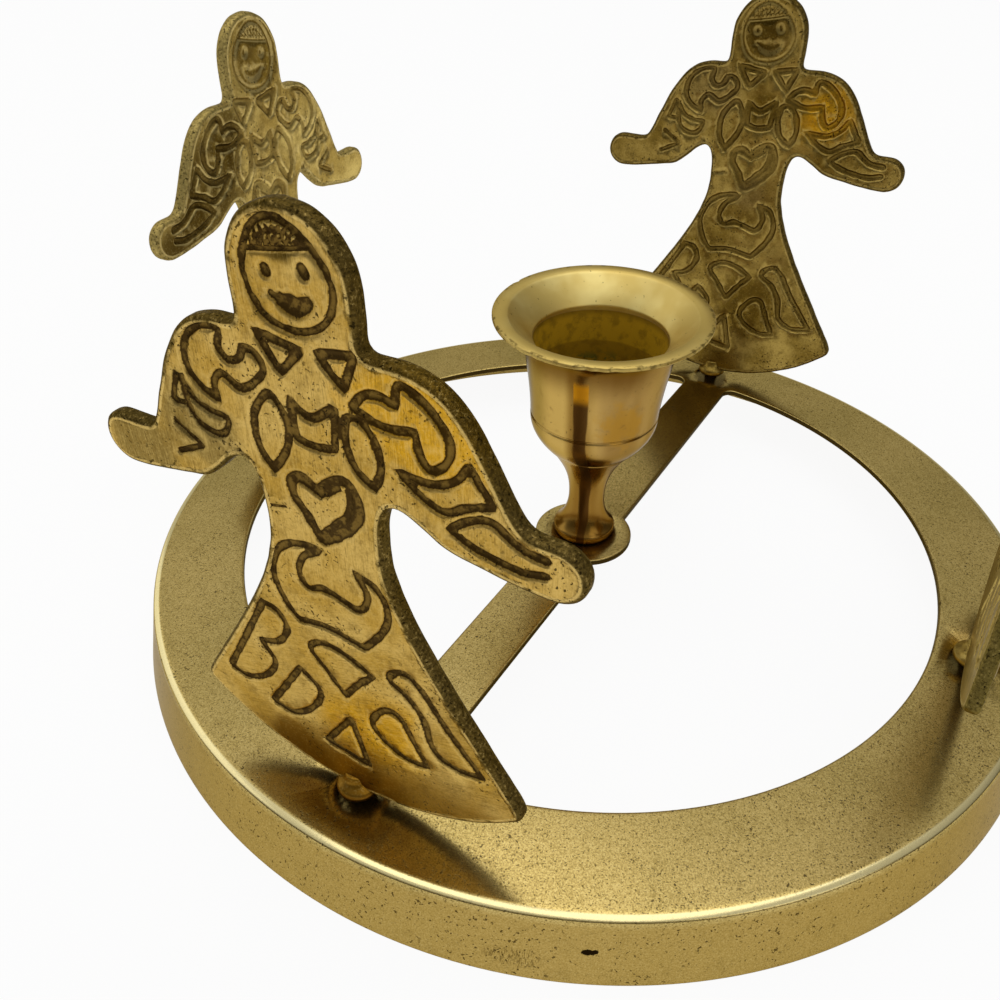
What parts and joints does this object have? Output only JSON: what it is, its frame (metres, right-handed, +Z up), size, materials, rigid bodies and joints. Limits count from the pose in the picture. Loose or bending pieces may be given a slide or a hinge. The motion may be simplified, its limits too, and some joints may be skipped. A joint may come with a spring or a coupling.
{
  "type": "angel taper candle holder",
  "caption": "Brass taper candle holder: a turned cup on a bar across a pressed ring, with flat cast angel figures that swivel on the ring.",
  "frame": {"origin": "on the table plane, under the centre of the ring", "axes": "+Z up along the candle, the bar runs along Y, and the front angel stands at -Y"},
  "size_m": [0.152, 0.152, 0.0869],
  "materials": {
    "ring_brass": "satin, tarnished, sandy grain",
    "cup_brass": "turned and polished, with a brown stain",
    "angel_brass": "brushed casting with dark patina in its grooves",
    "screw_brass": "dull"
  },
  "bodies": {
    "base": {"base_ring": "ring_brass", "candle_cup": "cup_brass", "cup_screw": "screw_brass", "cup_washer": "screw_brass"},
    "front_figure": {"front_angel": "angel_brass", "front_angel_screw": "screw_brass", "front_angel_washer": "screw_brass"},
    "right_figure": {"right_angel": "angel_brass", "right_angel_screw": "screw_brass", "right_angel_washer": "screw_brass"},
    "back_figure": {"back_angel": "angel_brass", "back_angel_screw": "screw_brass", "back_angel_washer": "screw_brass"},
    "left_figure": {"left_angel": "angel_brass", "left_angel_screw": "screw_brass", "left_angel_washer": "screw_brass"}
  },
  "joints": [
    {"name": "front_swivel", "type": "hinge", "parent": "base", "child": "front_figure", "pos_m": [0, -0.0648, 0.0105], "axis": [0, 0, 1], "continuous": true},
    {"name": "right_swivel", "type": "hinge", "parent": "base", "child": "right_figure", "pos_m": [0.0648, 0, 0.0105], "axis": [0, 0, 1], "continuous": true},
    {"name": "back_swivel", "type": "hinge", "parent": "base", "child": "back_figure", "pos_m": [0, 0.0648, 0.0105], "axis": [0, 0, 1], "continuous": true},
    {"name": "left_swivel", "type": "hinge", "parent": "base", "child": "left_figure", "pos_m": [-0.0648, 0, 0.0105], "axis": [0, 0, 1], "continuous": true}
  ]
}
